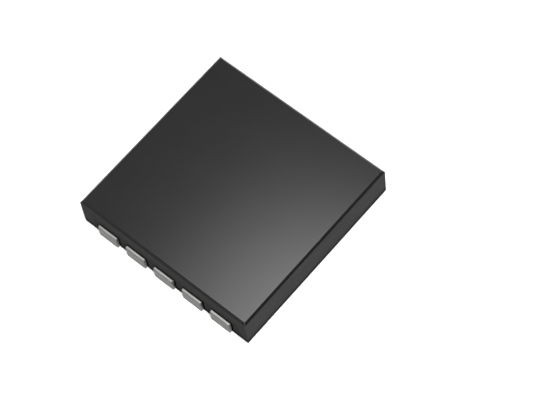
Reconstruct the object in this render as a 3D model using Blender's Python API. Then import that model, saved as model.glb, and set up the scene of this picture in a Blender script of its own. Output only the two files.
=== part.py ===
# A leadless chip package with ten terminals, modelled at its real size in metres, +Z up.
#
# The origin is the middle of the board's surface, level with the terminals' feet. The two rows of
# terminals run along X. Terminal 1 is at the -X end of the row on the -Y side, and the numbers run
# counter-clockwise seen from above.
#
# A copper sheet, etched away from below to half its thickness along some edges, gives the pad and the
# terminals. The die is glued to the pad, wires join it to the terminals, and epoxy is moulded round it
# all. The epoxy flows under the half-etched ledges and so locks the metal in.

import bpy
import bmesh
from math import cos, pi, radians, sin
from mathutils import Vector

# Sizes are in metres: 500e-6 is 500 micrometres, or half a millimetre.

# Terminals
TERMINALS_PER_ROW = 5
TERMINAL_PITCH = 500e-6
TERMINAL_WIDTH = 332e-6
TERMINAL_LENGTH = 476e-6  # from the moulding's side in to the tip of the round end
TERMINAL_REACH = 33e-6  # how far the square end stands out of the moulding's side
SHEET_TOP = 240e-6  # the metal's upper face above the board
EDGE_ROUND = 8e-6  # plating rounds the metal's outer edges
ROUND_END_STEPS = 14

# Half-etched ledges, which the epoxy grips
ETCH_HEIGHT = 140e-6  # underside of a ledge above the board
ETCH_ROOT = 22e-6  # radius that etching leaves where a ledge meets the wall below it
TERMINAL_LEDGE = 45e-6  # how far a terminal's ledge stands out round its inner end
LEDGE_START = 170e-6  # where it starts, from the moulding's side
PAD_LEDGE = 60e-6

# Pad
PAD_DEPTH = 1387e-6
PAD_TO_TERMINAL = 265e-6  # bare epoxy between the pad's edge and a terminal's tip
PAD_END_MARGIN = 268e-6  # from the pad's end to the moulding's end
PAD_PROUD = 4e-6  # how far the pad stands out of the moulding's underside
PAD_CORNER = 66e-6  # corner radius on the side of terminals 6 to 10
PAD_NOTCHED_CORNER = 45e-6  # corner radius on the notched side
NOTCH_RADIUS = 117e-6
NOTCH_FROM_END = 308e-6
CORNER_STEPS = 4
NOTCH_STEPS = 12

# Moulding
STANDOFF = 36e-6  # underside of the moulding above the board
END_MARGIN = 291e-6  # from the last terminal's flank to the moulding's end
TOP_BEVEL = 32e-6
CAP_COVER = 105e-6  # epoxy over the crest of the wires

# Die and its adhesive
DIE_WIDTH = 1500e-6
DIE_DEPTH = 950e-6
DIE_THICKNESS = 110e-6
ATTACH_THICKNESS = 20e-6
ATTACH_SPREAD = 45e-6  # the adhesive spreads this far past the die at its foot
ATTACH_RIM = 15e-6  # and this far at its top
WINDOW_SIDE = 80e-6
WINDOW_DEPTH = 4e-6
WINDOW_PITCH = 260e-6
WINDOW_INSET = 85e-6  # from the die's edge to the middle of a window

# Bond wires
WIRE_RADIUS = 12.5e-6
BALL_RADIUS = 30e-6
BALL_HEIGHT = 18e-6
BALL_WAIST = 0.75  # the ball's foot and neck, as a share of its radius
BALL_SHOULDER = 6e-6  # height over which it widens from its foot, and narrows to its neck
LOOP_RISE = 90e-6  # crest of a loop above the straight line between its ends
LOOP_LEAN = 0.6  # smaller keeps the crest nearer to the die
STITCH_RADIUS = 8e-6  # the wire is pressed thin where it ends on a terminal
STITCH_INSET = 105e-6  # from a terminal's tip to the end of its wire
WIRE_STEPS = 13
WIRE_SIDES = 8

# Clearances: the real pieces touch, and these hair gaps keep the solids apart
MOULD_GAP = 5e-6
SEAT_GAP = 4e-6
POCKET_PAST = 100e-6  # how far a pocket runs on into open air, to leave a clean mouth

# Mesh settings
SAME_POINT = 1e-8  # points nearer than this are one point
SHARP_TURN = radians(35)  # an edge that turns more than this is shaded sharp

# Sizes that follow from those above
row_length = (TERMINALS_PER_ROW - 1) * TERMINAL_PITCH + TERMINAL_WIDTH
body_width = row_length + 2 * END_MARGIN
body_depth = PAD_DEPTH + 2 * (PAD_TO_TERMINAL + TERMINAL_LENGTH)
pad_width = body_width - 2 * PAD_END_MARGIN
pad_bottom = STANDOFF - PAD_PROUD
attach_bottom = SHEET_TOP + SEAT_GAP
attach_top = attach_bottom + ATTACH_THICKNESS
die_bottom = attach_top + SEAT_GAP
die_top = die_bottom + DIE_THICKNESS
window_floor = die_top - WINDOW_DEPTH
body_top = die_top + LOOP_RISE + WIRE_RADIUS + CAP_COVER

# The bare metal's finish is matt tin over copper
MATERIALS = {
    "epoxy": ((0.030, 0.030, 0.031), 0.48, 0.0),
    "tin": ((0.78, 0.78, 0.77), 0.30, 1.0),
    "adhesive": ((0.55, 0.55, 0.56), 0.60, 0.0),
    "silicon": ((0.16, 0.17, 0.21), 0.22, 0.0),
    "gold": ((0.95, 0.70, 0.29), 0.25, 1.0),
}


def clear_scene():
    for obj in list(bpy.data.objects):
        bpy.data.objects.remove(obj, do_unlink=True)


def finish(name):
    colour, roughness, metallic = MATERIALS[name]
    material = bpy.data.materials.new(name)
    material.use_nodes = True
    shader = material.node_tree.nodes["Principled BSDF"]
    shader.inputs["Base Color"].default_value = (*colour, 1.0)
    shader.inputs["Roughness"].default_value = roughness
    shader.inputs["Metallic"].default_value = metallic
    material.diffuse_color = (*colour, 1.0)
    return material


def place(name, mesh, parent, material, location=(0.0, 0.0, 0.0), turn=0.0):
    obj = bpy.data.objects.new(name, mesh)
    bpy.context.scene.collection.objects.link(obj)
    obj.parent = parent
    obj.location = location
    obj.rotation_euler = (0.0, 0.0, turn)
    if not mesh.materials:
        mesh.materials.append(material)
    return obj


def skin(name, rings, smooth=True):
    """One closed solid through a stack of outlines, bottom to top, all with as many points."""
    form = bmesh.new()
    layers = [[form.verts.new(point) for point in ring] for ring in rings]
    for below, above in zip(layers, layers[1:]):
        for index in range(len(below)):
            after = (index + 1) % len(below)
            form.faces.new((below[index], below[after], above[after], above[index]))
    form.faces.new(list(reversed(layers[0])))
    form.faces.new(layers[-1])
    bmesh.ops.remove_doubles(form, verts=form.verts, dist=SAME_POINT)
    bmesh.ops.recalc_face_normals(form, faces=form.faces)
    mesh = bpy.data.meshes.new(name)
    form.to_mesh(mesh)
    form.free()
    if smooth:
        mesh.shade_smooth()
        mesh.set_sharp_from_angle(angle=SHARP_TURN)
    return mesh


def arc(centre, radius, start, end, steps):
    points = []
    for step in range(steps + 1):
        angle = start + (end - start) * step / steps
        points.append((centre[0] + radius * cos(angle), centre[1] + radius * sin(angle)))
    return points


def level(outline, height):
    return [(x, y, height) for x, y in outline]


def rectangle(width, depth, height):
    x = width / 2
    y = depth / 2
    return level([(-x, -y), (x, -y), (x, y), (-x, y)], height)


def terminal_outline(ledge=0.0, clear=0.0, reach=TERMINAL_REACH):
    """Outline from above: square end at -Y, round inner end at +Y, with its ledge round that end."""
    flank = TERMINAL_WIDTH / 2 + clear
    shoulder = LEDGE_START - clear
    centre = (0.0, TERMINAL_LENGTH - TERMINAL_WIDTH / 2)
    points = [(-flank, -reach), (flank, -reach), (flank, shoulder), (flank + ledge, shoulder)]
    points += arc(centre, flank + ledge, 0.0, pi, ROUND_END_STEPS)
    points += [(-flank - ledge, shoulder), (-flank, shoulder)]
    return points


def etched_root(ledge):
    """Height below the ledge and width of ledge, down the concave curve that etching leaves."""
    slope = sin(pi / 4)
    return [
        (ETCH_ROOT, 0.0),
        (ETCH_ROOT * (1 - slope), ETCH_ROOT * (1 - slope)),
        (0.0, ETCH_ROOT),
        (0.0, ledge),
    ]


def terminal_mesh():
    pressed = terminal_outline(0.0, -EDGE_ROUND, TERMINAL_REACH - EDGE_ROUND)
    rings = [level(pressed, 0.0), level(terminal_outline(), EDGE_ROUND)]
    for drop, ledge in etched_root(TERMINAL_LEDGE):
        rings.append(level(terminal_outline(ledge), ETCH_HEIGHT - drop))
    rings.append(level(terminal_outline(TERMINAL_LEDGE), SHEET_TOP - EDGE_ROUND))
    pressed = terminal_outline(TERMINAL_LEDGE, -EDGE_ROUND, TERMINAL_REACH - EDGE_ROUND)
    rings.append(level(pressed, SHEET_TOP))
    return skin("terminal", rings)


def terminal_pocket_mesh():
    past = TERMINAL_REACH + POCKET_PAST
    rings = [level(terminal_outline(0.0, MOULD_GAP, past), -POCKET_PAST)]
    for drop, ledge in etched_root(TERMINAL_LEDGE):
        outline = terminal_outline(ledge, MOULD_GAP, past)
        rings.append(level(outline, ETCH_HEIGHT - MOULD_GAP - drop))
    rings.append(level(terminal_outline(TERMINAL_LEDGE, MOULD_GAP, past), SHEET_TOP + MOULD_GAP))
    return skin("terminal_pocket", rings, smooth=False)


def pad_outline(ledge=0.0, clear=0.0):
    """Outline from above. The notch is etched from below, so the full ledge runs straight past it."""
    x = pad_width / 2 + ledge + clear
    y = PAD_DEPTH / 2 + ledge + clear
    small = PAD_NOTCHED_CORNER + ledge + clear
    large = PAD_CORNER + ledge + clear
    notch_x = NOTCH_FROM_END - pad_width / 2
    notch = arc((notch_x, -y), NOTCH_RADIUS - ledge - clear, pi, 0.0, NOTCH_STEPS)
    if ledge == PAD_LEDGE:
        notch = [(along, -y) for along, across in notch]
    points = arc((small - x, small - y), small, pi, 3 * pi / 2, CORNER_STEPS)
    points += notch
    points += arc((x - small, small - y), small, 3 * pi / 2, 2 * pi, CORNER_STEPS)
    points += arc((x - large, y - large), large, 0.0, pi / 2, CORNER_STEPS)
    points += arc((large - x, y - large), large, pi / 2, pi, CORNER_STEPS)
    return points


def pad_mesh():
    rings = [level(pad_outline(0.0, -EDGE_ROUND), pad_bottom)]
    rings.append(level(pad_outline(), pad_bottom + EDGE_ROUND))
    for drop, ledge in etched_root(PAD_LEDGE):
        rings.append(level(pad_outline(ledge), ETCH_HEIGHT - drop))
    rings.append(level(pad_outline(PAD_LEDGE), SHEET_TOP))
    return skin("die_pad", rings)


def pad_pocket_mesh():
    rings = [level(pad_outline(0.0, MOULD_GAP), -POCKET_PAST)]
    for drop, ledge in etched_root(PAD_LEDGE):
        rings.append(level(pad_outline(ledge, MOULD_GAP), ETCH_HEIGHT - MOULD_GAP - drop))
    rings.append(level(pad_outline(PAD_LEDGE, MOULD_GAP), SHEET_TOP + MOULD_GAP))
    return skin("pad_pocket", rings, smooth=False)


def attach_mesh(name, clear=0.0):
    """A thin layer with sloping sides. Its pocket reaches down into the pad's, so that they join."""
    foot = 2 * (ATTACH_SPREAD + clear)
    rim = 2 * (ATTACH_RIM + clear)
    rings = [rectangle(DIE_WIDTH + foot, DIE_DEPTH + foot, attach_bottom - 2 * clear)]
    rings.append(rectangle(DIE_WIDTH + foot, DIE_DEPTH + foot, attach_bottom + clear))
    rings.append(rectangle(DIE_WIDTH + rim, DIE_DEPTH + rim, attach_top + clear))
    return skin(name, rings, smooth=False)


def die_mesh(name, clear=0.0):
    width = DIE_WIDTH + 2 * clear
    depth = DIE_DEPTH + 2 * clear
    rings = [rectangle(width, depth, die_bottom - clear), rectangle(width, depth, die_top + clear)]
    return skin(name, rings, smooth=False)


def window_mesh():
    side = WINDOW_SIDE
    rings = [rectangle(side, side, window_floor), rectangle(side, side, die_top + WINDOW_DEPTH)]
    return skin("bond_window", rings, smooth=False)


def window_place(column):
    return Vector((column * WINDOW_PITCH, WINDOW_INSET - DIE_DEPTH / 2, 0.0))


def terminal_place(column):
    return Vector((column * TERMINAL_PITCH, -body_depth / 2, 0.0))


def wire_ring(centre, heading, side, radius):
    """Points round the wire, square to the way it heads."""
    up = side.cross(heading)
    ring = []
    for corner in range(WIRE_SIDES):
        angle = 2 * pi * (corner + 0.5) / WIRE_SIDES
        ring.append(centre + radius * (cos(angle) * side + sin(angle) * up))
    return ring


def wire_mesh(name, column, clear=0.0):
    """A ball on the die's window, a loop, and a thin stitch on the top of the terminal."""
    upward = Vector((0.0, 0.0, 1.0))
    start = window_place(column)
    landing = terminal_place(column) + Vector((0.0, TERMINAL_LENGTH - STITCH_INSET, 0.0))
    run = landing - start
    side = run.normalized().cross(upward)
    foot = window_floor + SEAT_GAP
    neck = foot + BALL_HEIGHT
    stitch = SHEET_TOP + SEAT_GAP + STITCH_RADIUS
    climb = 4 * LOOP_RISE

    waist = BALL_RADIUS * BALL_WAIST
    ball = [(foot - clear, waist), (foot + BALL_SHOULDER, BALL_RADIUS)]
    ball += [(neck - BALL_SHOULDER, BALL_RADIUS), (neck, waist)]
    rings = [wire_ring(start + height * upward, upward, side, radius + clear) for height, radius in ball]
    for step in range(1, WIRE_STEPS + 1):
        t = step / WIRE_STEPS
        last = step == WIRE_STEPS
        along = 4 * LOOP_LEAN * t ** 3 * (1 - t) + t ** 4
        height = neck + (stitch - neck) * t + climb * t * (1 - t)
        along_rate = 4 * LOOP_LEAN * (3 * t ** 2 - 4 * t ** 3) + 4 * t ** 3
        height_rate = stitch - neck + climb * (1 - 2 * t)
        heading = (along_rate * run + height_rate * upward).normalized()
        centre = start + along * run + height * upward
        if last:
            centre += clear * heading
        radius = STITCH_RADIUS if last else WIRE_RADIUS
        rings.append(wire_ring(centre, heading, side, radius + clear))
    return skin(name, rings)


def block_mesh():
    """The epoxy before its pockets are cut: upright sawn sides and a bevel round the top."""
    inner = 2 * TOP_BEVEL
    rings = [rectangle(body_width, body_depth, STANDOFF)]
    rings.append(rectangle(body_width, body_depth, body_top - TOP_BEVEL))
    rings.append(rectangle(body_width - inner, body_depth - inner, body_top))
    return skin("moulded_body", rings, smooth=False)


def hide_as_cutter(obj, collection):
    bpy.context.scene.collection.objects.unlink(obj)
    collection.objects.link(obj)
    obj.hide_render = True
    obj.display_type = "WIRE"


def cut(obj, cutters):
    modifier = obj.modifiers.new("pockets", "BOOLEAN")
    modifier.operation = "DIFFERENCE"
    modifier.solver = "EXACT"
    modifier.operand_type = "COLLECTION"
    modifier.collection = cutters


def cutter_collection(name):
    collection = bpy.data.collections.new(name)
    bpy.context.scene.collection.children.link(collection)
    return collection


def main():
    clear_scene()
    epoxy = finish("epoxy")
    tin = finish("tin")
    adhesive = finish("adhesive")
    silicon = finish("silicon")
    gold = finish("gold")
    package = bpy.data.objects.new("package", None)
    bpy.context.scene.collection.objects.link(package)

    body = place("moulded_body", block_mesh(), package, epoxy)
    place("die_pad", pad_mesh(), package, tin)
    place("die_attach", attach_mesh("die_attach"), package, adhesive)
    die = place("silicon_die", die_mesh("silicon_die"), package, silicon)

    pockets = cutter_collection("pockets_in_moulding")
    hide_as_cutter(place("pad_pocket", pad_pocket_mesh(), package, epoxy), pockets)
    hide_as_cutter(place("attach_pocket", attach_mesh("attach_pocket", MOULD_GAP), package, epoxy), pockets)
    hide_as_cutter(place("die_pocket", die_mesh("die_pocket", MOULD_GAP), package, epoxy), pockets)
    windows = cutter_collection("windows_in_die")

    terminal = terminal_mesh()
    terminal_pocket = terminal_pocket_mesh()
    window = window_mesh()
    for index in range(TERMINALS_PER_ROW):
        column = index - (TERMINALS_PER_ROW - 1) / 2
        wire = wire_mesh("bond_wire", column)
        wire_pocket = wire_mesh("wire_pocket", column, MOULD_GAP)
        for row, turn in enumerate((0.0, pi)):
            number = index + 1 + row * TERMINALS_PER_ROW
            across = 1 - 2 * row
            spot = terminal_place(column) * across
            place(f"terminal_{number}", terminal, package, tin, spot, turn)
            cutter = place(f"terminal_pocket_{number}", terminal_pocket, package, epoxy, spot, turn)
            hide_as_cutter(cutter, pockets)
            place(f"bond_wire_{number}", wire, package, gold, turn=turn)
            cutter = place(f"wire_pocket_{number}", wire_pocket, package, epoxy, turn=turn)
            hide_as_cutter(cutter, pockets)
            spot = window_place(column) * across
            hide_as_cutter(place(f"window_{number}", window, package, silicon, spot, turn), windows)

    cut(body, pockets)
    cut(die, windows)


main()
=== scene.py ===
# A leadless chip package standing on a pale floor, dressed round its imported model.
#
# The solids keep their places and sizes. The moulding, the pad and the terminals are taken over by
# finer pieces with rounded edges, and every surface gets the finish of its real material.

from math import cos, pi, radians, sin

import bmesh
import bpy
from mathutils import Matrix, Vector


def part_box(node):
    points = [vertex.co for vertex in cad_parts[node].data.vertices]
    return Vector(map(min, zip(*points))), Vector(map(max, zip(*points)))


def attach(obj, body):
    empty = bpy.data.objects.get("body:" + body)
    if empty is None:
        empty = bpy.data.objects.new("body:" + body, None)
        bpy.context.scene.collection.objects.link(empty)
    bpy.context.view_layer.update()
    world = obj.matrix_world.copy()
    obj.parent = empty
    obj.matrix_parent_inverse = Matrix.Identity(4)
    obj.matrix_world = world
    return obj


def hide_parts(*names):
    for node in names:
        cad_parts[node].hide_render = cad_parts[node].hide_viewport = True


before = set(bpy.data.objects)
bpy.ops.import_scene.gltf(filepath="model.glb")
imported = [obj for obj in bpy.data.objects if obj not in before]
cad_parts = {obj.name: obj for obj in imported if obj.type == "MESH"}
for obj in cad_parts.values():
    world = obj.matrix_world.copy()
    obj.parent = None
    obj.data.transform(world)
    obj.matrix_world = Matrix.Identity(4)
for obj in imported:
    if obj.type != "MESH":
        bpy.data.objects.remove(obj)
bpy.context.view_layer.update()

MM = 1e-3
PACKAGE = "root"
TERMINALS_PER_ROW = 5

# Sizes in millimetres that the boxes of the solids don't give
LEDGE_START = 0.170  # where a terminal's ledge starts, from the moulding's side
TERMINAL_LEDGE = 0.045
PAD_LEDGE = 0.060
ETCH_HEIGHT = 0.140  # underside of a ledge above the board
ETCH_ROOT = 0.022  # radius that etching leaves where a ledge meets the wall below it
PLATING_ROUND = 0.006
CUT_CORNER = 0.010  # corner radius of a terminal's sawn end, seen from above
PAD_CORNER = 0.066
PAD_NOTCHED_CORNER = 0.045
NOTCH_RADIUS = 0.117
NOTCH_FROM_END = 0.308
TOP_BEVEL = 0.032
EDGE_WEAR = 0.005  # how far the moulding's sharp edges are rounded off
WINDOW_DEPTH = 0.004  # depth of the die's bond windows

# The painted shade on the sawn sides, round each terminal and along the foot, in millimetres
PAINTED_SHADE_WIDTH = 0.010  # how far it spreads beside a terminal
PAINTED_SHADE_SHIFT = 0.035  # how far it is shifted along the row, to one side of each terminal
PAINTED_SHADE_START = 0.020  # it is full up to this height above a terminal
PAINTED_SHADE_RISE = 0.150  # and gone at this one
FOOT_START = 0.040  # the shade along the foot is full up to this height above the board
FOOT_SHADE = 0.155  # and gone at this one

# How much of the unshaded tone shows through the painted shade on the sawn sides, where 1 is unshaded
GAP_UNSHADED = 0.8  # between two terminals
FOOT_UNSHADED = 0.15  # along the foot

# Steps round a curve
ROUND_STEPS = 4
ETCH_STEPS = 6
CORNER_STEPS = 10
NOTCH_STEPS = 32
ROUND_END_STEPS = 40
WEAR_STEPS = 3

# What sorts the faces and edges of a form worked in millimetres
SHARP_TURN = radians(35)  # an edge that turns more is shaded sharp
WORN_TURN = radians(20)  # an edge of the moulding that turns more is rounded off
SAME_PLANE = radians(0.5)
LARGE_FLAT = 0.006  # a face of more square millimetres is shaded flat
SAME_POINT = 1e-5
ON_THE_BOX = 1e-3  # a face nearer to its piece's box is one of its outer sides
SQUARE_ON = 0.999  # share of a normal along an axis that its face is square to
MOSTLY = 0.9  # the share along an axis that its face looks along
LEANING = 0.1  # the share from which a face leans towards an axis


def srgb(code):
    """A hex colour as the eye sees it, turned into the linear colour that light needs."""
    parts = [int(code[at:at + 2], 16) / 255 for at in (1, 3, 5)]
    return tuple(p / 12.92 if p <= 0.04045 else ((p + 0.055) / 1.055) ** 2.4 for p in parts) + (1.0,)


def add(tree, kind, inputs=None, **settings):
    """One node. Each input takes a number, a colour or the output of another node."""
    made = tree.nodes.new("ShaderNode" + kind)
    for name, value in settings.items():
        setattr(made, name, value)
    for name, value in (inputs or {}).items():
        if isinstance(value, bpy.types.NodeSocket):
            tree.links.new(value, made.inputs[name])
        else:
            made.inputs[name].default_value = value
    return made


def new_material(name, **sockets):
    """A material, its tree and its shader, with the values that are the same all over."""
    material = bpy.data.materials.new(name)
    material.use_nodes = True
    shader = material.node_tree.nodes["Principled BSDF"]
    for socket, value in sockets.items():
        shader.inputs[socket.replace("_", " ")].default_value = value
    return material, material.node_tree, shader


def join(tree, shader, colour, roughness, normal):
    """Give the shader the three things that vary over the surface."""
    tree.links.new(colour, shader.inputs["Base Color"])
    tree.links.new(roughness, shader.inputs["Roughness"])
    tree.links.new(normal, shader.inputs["Normal"])


def scale_for(grain_mm):
    """The scale of a pattern whose grains are this size."""
    return 1.0 / (grain_mm * MM)


def own_shift(tree):
    """A number of its own for each piece, so that the terminals don't share one pattern."""
    own = add(tree, "ObjectInfo").outputs["Random"]
    return add(tree, "Math", {0: own, 1: 40.0}, operation="MULTIPLY").outputs[0]


def moulded_epoxy(name, dark, light):
    # Silica-filled epoxy, moulded against a spark-eroded steel cavity. The eye sees an even
    # black-grey with a soft satin sheen. The cavity's 24 micrometre pits only blur that sheen. The
    # bevel gets a darker copy of this finish, a painted shade that makes it a blacker line round the
    # top.
    material, tree, shader = new_material(name, IOR=1.55)
    place = add(tree, "TexCoord").outputs["Object"]
    pits = add(tree, "TexNoise", {"Vector": place, "Scale": scale_for(0.024), "Detail": 2.0})
    flow = add(tree, "TexNoise", {"Vector": place, "Scale": scale_for(0.5), "Detail": 3.0})
    tone = add(tree, "MixRGB", {"Fac": flow.outputs["Fac"], "Color1": srgb(dark), "Color2": srgb(light)})
    gloss = add(tree, "MapRange", {"Value": pits.outputs["Fac"], "To Min": 0.18, "To Max": 0.24})
    relief = add(tree, "Bump", {"Height": pits.outputs["Fac"], "Strength": 1.0, "Distance": 2e-8})
    join(tree, shader, tone.outputs["Color"], gloss.outputs["Result"], relief.outputs["Normal"])
    return material


def painted_shade_tone(tree, place, unshaded, pitch, half_width, metal_top):
    """The unshaded colour, darkened by painted shade round the terminals and along the foot."""
    spot = add(tree, "SeparateXYZ", {"Vector": place})
    # Shifted along the row, so that the painted shade lies more to one side of each terminal
    shifted = add(tree, "Math", {0: spot.outputs["X"], 1: PAINTED_SHADE_SHIFT * MM}, operation="SUBTRACT")
    column = add(tree, "Math", {0: shifted.outputs[0], 1: pitch / 2, 2: -pitch / 2}, operation="WRAP")
    aside = add(tree, "Math", {0: column.outputs[0]}, operation="ABSOLUTE")
    beside = add(tree, "MapRange", {
        "Value": aside.outputs[0], "From Min": half_width + PAINTED_SHADE_WIDTH / 2 * MM,
        "From Max": half_width + PAINTED_SHADE_WIDTH * 2 * MM, "To Max": GAP_UNSHADED},
        interpolation_type="SMOOTHSTEP")
    above = add(tree, "MapRange", {
        "Value": spot.outputs["Z"], "From Min": metal_top + PAINTED_SHADE_START * MM,
        "From Max": metal_top + PAINTED_SHADE_RISE * MM},
        interpolation_type="SMOOTHSTEP")

    row_end = TERMINALS_PER_ROW / 2 * pitch
    fade = pitch / 10
    from_middle = add(tree, "Math", {0: shifted.outputs[0]}, operation="ABSOLUTE")
    past_row = add(tree, "MapRange", {
        "Value": from_middle.outputs[0], "From Min": row_end - fade, "From Max": row_end + fade},
        interpolation_type="SMOOTHSTEP")

    apart = add(tree, "Math", {
        0: beside.outputs["Result"], 1: above.outputs["Result"]}, operation="MAXIMUM")
    apart = add(tree, "Math", {0: apart.outputs[0], 1: past_row.outputs["Result"]}, operation="MAXIMUM")
    foot = add(tree, "MapRange", {
        "Value": spot.outputs["Z"], "From Min": FOOT_START * MM, "From Max": FOOT_SHADE * MM,
        "To Min": FOOT_UNSHADED})
    share = add(tree, "Math", {0: apart.outputs[0], 1: foot.outputs["Result"]}, operation="MULTIPLY")
    # The colour of the painted shade round the terminals and along the foot
    return add(tree, "MixRGB", {"Fac": share.outputs[0], "Color1": srgb("#060606"), "Color2": unshaded})


def sawn_epoxy(pitch, half_width, metal_top):
    # The same epoxy where a diamond blade cut it. The eye sees a matt side with fine streaks along
    # the cut and pale specks of filler. A black painted shade lies along the foot and round each
    # terminal, shifted to one side of it. Real saw lines are about 5 micrometres and are drawn as 30.
    # Real grains are 10 to 50, and the largest are drawn.
    material, tree, shader = new_material("sawn_epoxy", IOR=1.55, Specular_IOR_Level=0.0)
    place = add(tree, "TexCoord").outputs["Object"]
    along = add(tree, "Mapping", {"Vector": place, "Scale": (0.04, 0.04, 1.0)})
    lines = add(tree, "TexNoise", {
        "Vector": along.outputs["Vector"], "Scale": scale_for(0.03), "Detail": 3.0})
    streak = add(tree, "MixRGB", {
        "Fac": lines.outputs["Fac"], "Color1": srgb("#2e2e2e"), "Color2": srgb("#3e3e3e")})
    grains = add(tree, "TexVoronoi", {"Vector": place, "Scale": scale_for(0.045)})
    speck = add(tree, "MapRange", {
        "Value": grains.outputs["Distance"], "From Min": 0.12, "From Max": 0.2,
        "To Min": 0.35, "To Max": 0.0})
    unshaded = add(tree, "MixRGB", {
        "Fac": speck.outputs["Result"], "Color1": streak.outputs["Color"], "Color2": srgb("#5a5a5a")})
    # Painted shade round the terminals and along the foot darkens the sawn side
    tone = painted_shade_tone(tree, place, unshaded.outputs["Color"], pitch, half_width, metal_top)
    gloss = add(tree, "MapRange", {"Value": lines.outputs["Fac"], "To Min": 0.8, "To Max": 0.95})
    relief = add(tree, "Bump", {"Height": lines.outputs["Fac"], "Strength": 1.0, "Distance": 1e-6})
    join(tree, shader, tone.outputs["Color"], gloss.outputs["Result"], relief.outputs["Normal"])
    return material


def matt_tin():
    # Electroplated matt tin. The eye sees a bright grey metal whose grains, about 5 micrometres and
    # drawn here as 20, spread every reflection into a soft glow.
    material, tree, shader = new_material("matt_tin", Metallic=1.0)
    place = add(tree, "TexCoord").outputs["Object"]
    shift = own_shift(tree)
    grain = add(tree, "TexNoise", {"Vector": place, "W": shift, "Scale": scale_for(0.02), "Detail": 3.0},
                noise_dimensions="4D")
    patch = add(tree, "TexNoise", {"Vector": place, "W": shift, "Scale": scale_for(0.25), "Detail": 2.0},
                noise_dimensions="4D")
    tone = add(tree, "MixRGB", {
        "Fac": patch.outputs["Fac"], "Color1": srgb("#bebebc"), "Color2": srgb("#cacac8")})
    gloss = add(tree, "MapRange", {"Value": patch.outputs["Fac"], "To Min": 0.44, "To Max": 0.54})
    relief = add(tree, "Bump", {"Height": grain.outputs["Fac"], "Strength": 1.0, "Distance": 2e-7})
    join(tree, shader, tone.outputs["Color"], gloss.outputs["Result"], relief.outputs["Normal"])
    return material


def sawn_tin(name, dark, light):
    # The cut end of a terminal, tin smeared over copper by the blade. The eye sees a duller grey
    # than the plating, with faint lines along the cut. Real lines are about 5 micrometres, and are
    # drawn as 14. The flanks of the end get a lighter copy of this finish, as painted light.
    material, tree, shader = new_material(name, Metallic=1.0)
    place = add(tree, "TexCoord").outputs["Object"]
    shift = own_shift(tree)
    along = add(tree, "Mapping", {"Vector": place, "Scale": (0.1, 0.1, 1.0)})
    lines = add(tree, "TexNoise", {
        "Vector": along.outputs["Vector"], "W": shift, "Scale": scale_for(0.014), "Detail": 2.0},
        noise_dimensions="4D")
    tone = add(tree, "MixRGB", {
        "Fac": lines.outputs["Fac"], "Color1": srgb(dark), "Color2": srgb(light)})
    gloss = add(tree, "MapRange", {"Value": lines.outputs["Fac"], "To Min": 0.45, "To Max": 0.6})
    relief = add(tree, "Bump", {"Height": lines.outputs["Fac"], "Strength": 1.0, "Distance": 2e-7})
    join(tree, shader, tone.outputs["Color"], gloss.outputs["Result"], relief.outputs["Normal"])
    return material


def silver_adhesive():
    # Epoxy filled with silver flakes. The eye sees a warm grey paste with a dull glitter. Real
    # flakes are about 5 micrometres, and are drawn as 15.
    material, tree, shader = new_material("silver_adhesive", IOR=1.5)
    place = add(tree, "TexCoord").outputs["Object"]
    flakes = add(tree, "TexVoronoi", {"Vector": place, "Scale": scale_for(0.015)})
    lean = add(tree, "SeparateColor", {"Color": flakes.outputs["Color"]}).outputs["Red"]
    tone = add(tree, "MixRGB", {"Fac": lean, "Color1": srgb("#8f8c86"), "Color2": srgb("#cfcdc8")})
    metal = add(tree, "MapRange", {"Value": lean, "To Min": 0.3, "To Max": 0.9})
    gloss = add(tree, "MapRange", {"Value": lean, "To Min": 0.65, "To Max": 0.4})
    relief = add(tree, "Bump", {"Height": lean, "Strength": 1.0, "Distance": 8e-7})
    tree.links.new(metal.outputs["Result"], shader.inputs["Metallic"])
    join(tree, shader, tone.outputs["Color"], gloss.outputs["Result"], relief.outputs["Normal"])
    return material


def polished_silicon(die_top):
    # A silicon die under its glass coat, with aluminium in the bond windows. The eye sees a dark
    # blue-grey mirror with faint blocks of circuit, and a paler square under each wire.
    material, tree, shader = new_material("polished_silicon", IOR=3.4)
    place = add(tree, "TexCoord").outputs["Object"]
    blocks = add(tree, "TexVoronoi", {"Vector": place, "Scale": scale_for(0.12)}, distance="CHEBYCHEV")
    block = add(tree, "SeparateColor", {"Color": blocks.outputs["Color"]}).outputs["Green"]
    circuit = add(tree, "MixRGB", {"Fac": block, "Color1": srgb("#1d2430"), "Color2": srgb("#343b45")})
    height = add(tree, "SeparateXYZ", {"Vector": place}).outputs["Z"]
    facing = add(tree, "SeparateXYZ", {"Vector": add(tree, "TexCoord").outputs["Normal"]}).outputs["Z"]
    half_down = die_top - WINDOW_DEPTH / 2 * MM
    below = add(tree, "Math", {0: height, 1: half_down}, operation="LESS_THAN").outputs[0]
    level = add(tree, "Math", {0: facing, 1: MOSTLY}, operation="GREATER_THAN").outputs[0]
    window = add(tree, "Math", {0: below, 1: level}, operation="MULTIPLY").outputs[0]
    tone = add(tree, "MixRGB", {
        "Fac": window, "Color1": circuit.outputs["Color"], "Color2": srgb("#d6d8da")})
    haze = add(tree, "TexNoise", {"Vector": place, "Scale": scale_for(0.03), "Detail": 2.0})
    gloss = add(tree, "MapRange", {"Value": haze.outputs["Fac"], "To Min": 0.08, "To Max": 0.2})
    relief = add(tree, "Bump", {"Height": block, "Strength": 1.0, "Distance": 3e-7})
    tree.links.new(window, shader.inputs["Metallic"])
    join(tree, shader, tone.outputs["Color"], gloss.outputs["Result"], relief.outputs["Normal"])
    return material


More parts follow.
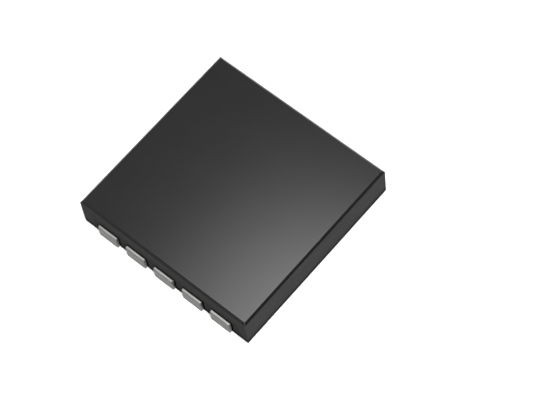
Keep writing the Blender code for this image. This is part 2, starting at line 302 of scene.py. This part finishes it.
def drawn_gold():
    # Soft gold wire, drawn through a diamond die. The eye sees a bright warm metal with a slight
    # orange-peel haze, drawn here as 10 micrometre grains.
    material, tree, shader = new_material("drawn_gold", Metallic=1.0)
    place = add(tree, "TexCoord").outputs["Object"]
    peel = add(tree, "TexNoise", {"Vector": place, "Scale": scale_for(0.01), "Detail": 2.0})
    tone = add(tree, "MixRGB", {
        "Fac": peel.outputs["Fac"], "Color1": srgb("#f0c25a"), "Color2": srgb("#f7d37c")})
    gloss = add(tree, "MapRange", {"Value": peel.outputs["Fac"], "To Min": 0.16, "To Max": 0.28})
    relief = add(tree, "Bump", {"Height": peel.outputs["Fac"], "Strength": 1.0, "Distance": 1e-7})
    join(tree, shader, tone.outputs["Color"], gloss.outputs["Result"], relief.outputs["Normal"])
    return material


def painted_board():
    # White matt paint on a board. The eye sees nothing but an even, bright ground.
    material, tree, shader = new_material("painted_board")
    place = add(tree, "TexCoord").outputs["Object"]
    nap = add(tree, "TexNoise", {"Vector": place, "Scale": scale_for(0.4), "Detail": 2.0})
    tone = add(tree, "MixRGB", {
        "Fac": nap.outputs["Fac"], "Color1": srgb("#f4f4f4"), "Color2": srgb("#f8f8f8")})
    gloss = add(tree, "MapRange", {"Value": nap.outputs["Fac"], "To Min": 0.75, "To Max": 0.85})
    relief = add(tree, "Bump", {"Height": nap.outputs["Fac"], "Strength": 0.2, "Distance": 1e-6})
    join(tree, shader, tone.outputs["Color"], gloss.outputs["Result"], relief.outputs["Normal"])
    return material


def size_mm(node):
    """The lowest and highest corners of a solid, in millimetres."""
    low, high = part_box(node)
    return low / MM, high / MM


def arc(centre, radius, start, end, steps):
    turns = [start + (end - start) * step / steps for step in range(steps + 1)]
    return [(centre[0] + radius * cos(turn), centre[1] + radius * sin(turn)) for turn in turns]


def quarter(radius, steps=ROUND_STEPS):
    """Inset and height along a quarter round, from the foot to the flank."""
    turns = [step / steps * pi / 2 for step in range(steps + 1)]
    return [(radius * (1 - sin(turn)), radius * (1 - cos(turn))) for turn in turns]


def etched_root(ledge):
    """Drop below the ledge and width of ledge, along the concave curve that etching leaves."""
    return quarter(ETCH_ROOT, ETCH_STEPS) + [(0.0, ledge)]


def loft(rings):
    """A closed skin through outlines in millimetres, each (points, height), bottom to top."""
    form = bmesh.new()
    layers = [[form.verts.new((x, y, height)) for x, y in points] for points, height in rings]
    for below, above in zip(layers, layers[1:]):
        for index in range(len(below)):
            after = (index + 1) % len(below)
            form.faces.new((below[index], below[after], above[after], above[index]))
    form.faces.new(list(reversed(layers[0])))
    form.faces.new(layers[-1])
    bmesh.ops.remove_doubles(form, verts=form.verts, dist=SAME_POINT)
    bmesh.ops.recalc_face_normals(form, faces=form.faces)
    form.normal_update()
    return form


def to_mesh(name, form, finishes):
    """The form, worked in millimetres, as a mesh in metres. Its large flats are shaded flat, and the
    small rounds between them smooth."""
    form.normal_update()
    for face in form.faces:
        face.smooth = face.calc_area() < LARGE_FLAT
    for edge in form.edges:
        edge.smooth = edge.is_manifold and edge.calc_face_angle() < SHARP_TURN
    bmesh.ops.scale(form, vec=(MM,) * 3, verts=form.verts)
    mesh = bpy.data.meshes.new(name)
    form.to_mesh(mesh)
    form.free()
    for finish in finishes:
        mesh.materials.append(finish)
    return mesh


def show(name, mesh, node):
    """A finer piece in the place of a solid. It rides on the package, as all its pieces do."""
    piece = bpy.data.objects.new(name, mesh)
    bpy.context.scene.collection.objects.link(piece)
    even = piece.modifiers.new("even_shading", "WEIGHTED_NORMAL")
    even.keep_sharp = True
    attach(piece, PACKAGE)
    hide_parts(node)
    return piece


def terminal_outline(half, length, reach, ledge=0.0, inset=0.0):
    """From above: square end with small round corners at -Y, round end at +Y, the ledge round it."""
    flank = half - inset
    end = -reach + inset
    corner = CUT_CORNER
    points = arc((corner - flank, end + corner), corner, pi, 3 * pi / 2, ROUND_STEPS)
    points += arc((flank - corner, end + corner), corner, -pi / 2, 0.0, ROUND_STEPS)
    points += [(flank, LEDGE_START), (flank + ledge, LEDGE_START)]
    points += arc((0.0, length - half), flank + ledge, 0.0, pi, ROUND_END_STEPS)
    points += [(-flank - ledge, LEDGE_START), (-flank, LEDGE_START)]
    return points


def terminal_mesh(finishes):
    """One terminal, with its root in the moulding's side at y = 0. Outside that side the finishes
    are the plating on its top and foot, the cut end and the flanks."""
    low, high = size_mm("terminal_3")
    side = size_mm("moulded_body")[0].y
    reach = side - low.y
    length = high.y - TERMINAL_LEDGE - side
    half = (high.x - low.x) / 2 - TERMINAL_LEDGE

    def outline(ledge=0.0, inset=0.0):
        return terminal_outline(half, length, reach, ledge, inset)

    plating = quarter(PLATING_ROUND)
    rings = [(outline(0.0, inset), rise) for inset, rise in plating]
    rings += [(outline(out), ETCH_HEIGHT - drop) for drop, out in etched_root(TERMINAL_LEDGE)]
    rings += [(outline(TERMINAL_LEDGE, inset), high.z - rise) for inset, rise in reversed(plating)]
    form = loft(rings)
    everything = form.verts[:] + form.edges[:] + form.faces[:]
    bmesh.ops.bisect_plane(form, geom=everything, plane_co=(0.0, 0.0, 0.0), plane_no=(0.0, 1.0, 0.0))
    for face in form.faces:
        if face.calc_center_median().y < 0 and abs(face.normal.z) < SQUARE_ON:
            face.material_index = 2 if abs(face.normal.x) > MOSTLY else 1
    return to_mesh("terminal", form, finishes)


def pad_outline(half, ledge=0.0, inset=0.0):
    """From above. The notch is etched from below, so the full ledge runs straight past it."""
    x = half.x + ledge - inset
    y = half.y + ledge - inset
    small = PAD_NOTCHED_CORNER + ledge - inset
    large = PAD_CORNER + ledge - inset
    notch = arc((NOTCH_FROM_END - half.x, -y), NOTCH_RADIUS - ledge + inset, pi, 0.0, NOTCH_STEPS)
    if ledge == PAD_LEDGE:
        notch = [(point[0], -y) for point in notch]
    points = arc((small - x, small - y), small, pi, 3 * pi / 2, CORNER_STEPS) + notch
    points += arc((x - small, small - y), small, 3 * pi / 2, 2 * pi, CORNER_STEPS)
    points += arc((x - large, y - large), large, 0.0, pi / 2, CORNER_STEPS)
    points += arc((large - x, y - large), large, pi / 2, pi, CORNER_STEPS)
    return points


def pad_mesh(finish):
    low, high = size_mm("die_pad")
    half = high - Vector((PAD_LEDGE, PAD_LEDGE, 0.0))
    plating = quarter(PLATING_ROUND)
    rings = [(pad_outline(half, 0.0, inset), low.z + rise) for inset, rise in plating]
    rings += [(pad_outline(half, out), ETCH_HEIGHT - drop) for drop, out in etched_root(PAD_LEDGE)]
    rings += [(pad_outline(half, PAD_LEDGE, inset), high.z - rise) for inset, rise in reversed(plating)]
    return to_mesh("pad", loft(rings), [finish])


def moulding_mesh(finishes):
    """The solid moulding with its sharp outer edges rounded off, also round the terminals' mouths.
    Finishes: the moulded faces, the sawn sides and the bevel."""
    low, high = size_mm("moulded_body")
    form = bmesh.new()
    form.from_mesh(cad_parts["moulded_body"].data)
    bmesh.ops.scale(form, vec=(1 / MM,) * 3, verts=form.verts)
    bmesh.ops.remove_doubles(form, verts=form.verts, dist=SAME_POINT)
    bmesh.ops.dissolve_limit(form, angle_limit=SAME_PLANE, verts=form.verts, edges=form.edges)
    form.normal_update()

    def on_side(face, axis):
        middle = face.calc_center_median()[axis]
        square = abs(face.normal[axis]) > SQUARE_ON
        return square and min(middle - low[axis], high[axis] - middle) < ON_THE_BOX

    def on_bevel(face):
        slopes = LEANING < face.normal.z < MOSTLY
        return slopes and face.calc_center_median().z > high.z - TOP_BEVEL

    walls = {face for face in form.faces if on_side(face, 0) or on_side(face, 1)}
    bevels = {face for face in form.faces if on_bevel(face)}
    shell = walls | bevels | {face for face in form.faces if on_side(face, 2)}
    for face in walls:
        face.material_index = 1
    for face in bevels:
        face.material_index = 2

    def worn(edge):
        folded = edge.is_manifold and edge.calc_face_angle() > WORN_TURN
        outer = shell.issuperset(edge.link_faces) or not walls.isdisjoint(edge.link_faces)
        return folded and outer

    rims = [edge for edge in form.edges if worn(edge)]
    bmesh.ops.bevel(form, geom=rims, offset=EDGE_WEAR, offset_type="OFFSET", segments=WEAR_STEPS,
                    profile=0.5, affect="EDGES", clamp_overlap=True, material=-1)

    # The worn edges of the sides and the bevel's mitres are as matt as the sawn sides
    under_bevel = high.z - TOP_BEVEL - 2 * EDGE_WEAR
    for face in form.faces:
        middle = face.calc_center_median()
        from_side = min(middle.x - low.x, high.x - middle.x, middle.y - low.y, high.y - middle.y)
        on_mitre = min(abs(face.normal.x), abs(face.normal.y)) > LEANING and middle.z > under_bevel
        if on_mitre or from_side < EDGE_WEAR:
            face.material_index = 1
    return to_mesh("moulding", form, finishes)


def make_floor():
    mesh = bpy.data.meshes.new("floor")
    half = 2.0
    corners = [(-half, -half, 0), (half, -half, 0), (half, half, 0), (-half, half, 0)]
    mesh.from_pydata(corners, [], [(0, 1, 2, 3)])
    mesh.materials.append(painted_board())
    floor = bpy.data.objects.new("floor", mesh)
    bpy.context.scene.collection.objects.link(floor)


def softbox(name, centre_mm, sides_mm, radiance, aimed=True):
    """A glowing rectangle, bright by its radiance. The camera doesn't see it."""
    lamp = bpy.data.lights.new(name, "AREA")
    lamp.shape = "RECTANGLE"
    lamp.size = sides_mm[0] * MM
    lamp.size_y = sides_mm[1] * MM
    lamp.energy = radiance * pi * lamp.size * lamp.size_y
    box = bpy.data.objects.new(name, lamp)
    bpy.context.scene.collection.objects.link(box)
    box.location = Vector(centre_mm) * MM
    if aimed:
        box.rotation_euler = (-box.location).to_track_quat("-Z", "Y").to_euler()
    box.visible_camera = False
    return box


def sheen_card():
    """A small glowing card close over the package. It fades to its left and far edges, and its
    reflection gives the top face its soft slope of light."""
    side = 6.0
    left_fade = 5.2
    far_fade = 2.6
    card = softbox("sheen_card", (-2.55, 3.37, 14.0), (side, side), radiance=9.3, aimed=False)
    card.data.use_nodes = True
    tree = card.data.node_tree
    across = add(tree, "SeparateXYZ", {"Vector": add(tree, "NewGeometry").outputs["Parametric"]})
    left = add(tree, "MapRange", {"Value": across.outputs["X"], "From Max": left_fade / side})
    far = add(tree, "MapRange", {
        "Value": across.outputs["Y"], "From Min": 1.0, "From Max": 1.0 - far_fade / side})
    both = add(tree, "Math", {0: left.outputs["Result"], 1: far.outputs["Result"]}, operation="MULTIPLY")
    tree.links.new(both.outputs[0], tree.nodes["Emission"].inputs["Strength"])


def main_light():
    """A large overhead light, far enough away to light the floor evenly out to the horizon."""
    lamp = bpy.data.lights.new("overhead", "SUN")
    lamp.angle = radians(18)
    lamp.energy = 4.3
    light = bpy.data.objects.new("overhead", lamp)
    bpy.context.scene.collection.objects.link(light)
    shines_along = Vector((-75.0, 35.0, -300.0))
    light.rotation_euler = shines_along.to_track_quat("-Z", "Y").to_euler()


def make_world():
    """A dim studio. A white strip along the horizon carries the floor on, and the ceiling over the
    dark walls is a little paler."""
    world = bpy.data.worlds.new("studio")
    bpy.context.scene.world = world
    world.use_nodes = True
    tree = world.node_tree
    backdrop = tree.nodes["Background"]
    direction = add(tree, "TexCoord").outputs["Generated"]
    height = add(tree, "SeparateXYZ", {"Vector": direction})
    low = add(tree, "MapRange", {
        "Value": height.outputs["Z"], "From Min": 0.06, "From Max": 0.16, "To Min": 1.0, "To Max": 0.05})
    high = add(tree, "MapRange", {
        "Value": height.outputs["Z"], "From Min": 0.5, "From Max": 0.8, "To Min": 0.05, "To Max": 0.14})
    both = add(tree, "Math", {0: low.outputs["Result"], 1: high.outputs["Result"]}, operation="MAXIMUM")
    tree.links.new(both.outputs[0], backdrop.inputs["Strength"])
    backdrop.inputs["Color"].default_value = (1.0, 1.0, 1.0, 1.0)


def make_camera():
    """Fitted to the edges of the package in the photograph."""
    data = bpy.data.cameras.new("camera")
    data.sensor_width = 36.0
    data.lens = 134.38
    data.clip_start = 1 * MM
    data.clip_end = 10.0
    camera = bpy.data.objects.new("camera", data)
    bpy.context.scene.collection.objects.link(camera)
    camera.location = Vector((10.079, -8.284, 25.130)) * MM
    camera.rotation_euler = [radians(turn) for turn in (27.125, 3.981, 40.216)]
    bpy.context.scene.camera = camera


# The moulding and the pad
epoxy = moulded_epoxy("moulded_epoxy", "#1a1a1a", "#1f1f1f")
# A darker copy of the moulded epoxy for the bevel: painted shade
bevel = moulded_epoxy("painted_shade_bevel_epoxy", "#0e0e0e", "#121212")
tin = matt_tin()

terminal_low, terminal_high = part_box("terminal_3")
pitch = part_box("terminal_4")[0].x - terminal_low.x
half_width = (terminal_high.x - terminal_low.x) / 2 - TERMINAL_LEDGE * MM
sawn = sawn_epoxy(pitch, half_width, terminal_high.z)

show("moulding", moulding_mesh([epoxy, sawn, bevel]), "moulded_body")
show("tinned_pad", pad_mesh(tin), "die_pad")

# The terminals, one mesh for all ten, with the second row turned round
ends = sawn_tin("sawn_tin", "#585856", "#6c6c6a")
# A lighter copy of the sawn tin for the flanks: painted light
flanks = sawn_tin("sawn_tin_flank_painted_light", "#6c6c6a", "#848482")
terminal = terminal_mesh([tin, ends, flanks])
body_low, body_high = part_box("moulded_body")
for number in range(1, 2 * TERMINALS_PER_ROW + 1):
    node = f"terminal_{number}"
    low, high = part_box(node)
    front = low.y < 0
    piece = show(f"tinned_{node}", terminal, node)
    piece.location = ((low.x + high.x) / 2, body_low.y if front else body_high.y, 0.0)
    piece.rotation_euler.z = 0.0 if front else pi

# The solids' own finishes
solid_finishes = {
    "moulded_body": epoxy,
    "die_pad": tin,
    "terminal": tin,
    "die_attach": silver_adhesive(),
    "silicon_die": polished_silicon(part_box("silicon_die")[1].z),
    "bond_wire": drawn_gold(),
}
for node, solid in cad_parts.items():
    kind = node.rstrip("_0123456789")
    solid.data.materials.clear()
    solid.data.materials.append(solid_finishes[kind])

# The studio
make_floor()
make_world()
main_light()
sheen_card()
softbox("back_left_softbox", (-160.0, 160.0, 115.0), (160.0, 110.0), 0.9)
softbox("front_softbox", (-75.0, -200.0, 70.0), (160.0, 60.0), 0.4)
softbox("right_softbox", (220.0, -80.0, 28.0), (180.0, 56.0), 7.0)
softbox("back_right_softbox", (150.0, 170.0, 62.0), (170.0, 80.0), 1.0)
make_camera()
bpy.context.scene.view_settings.view_transform = "Standard"
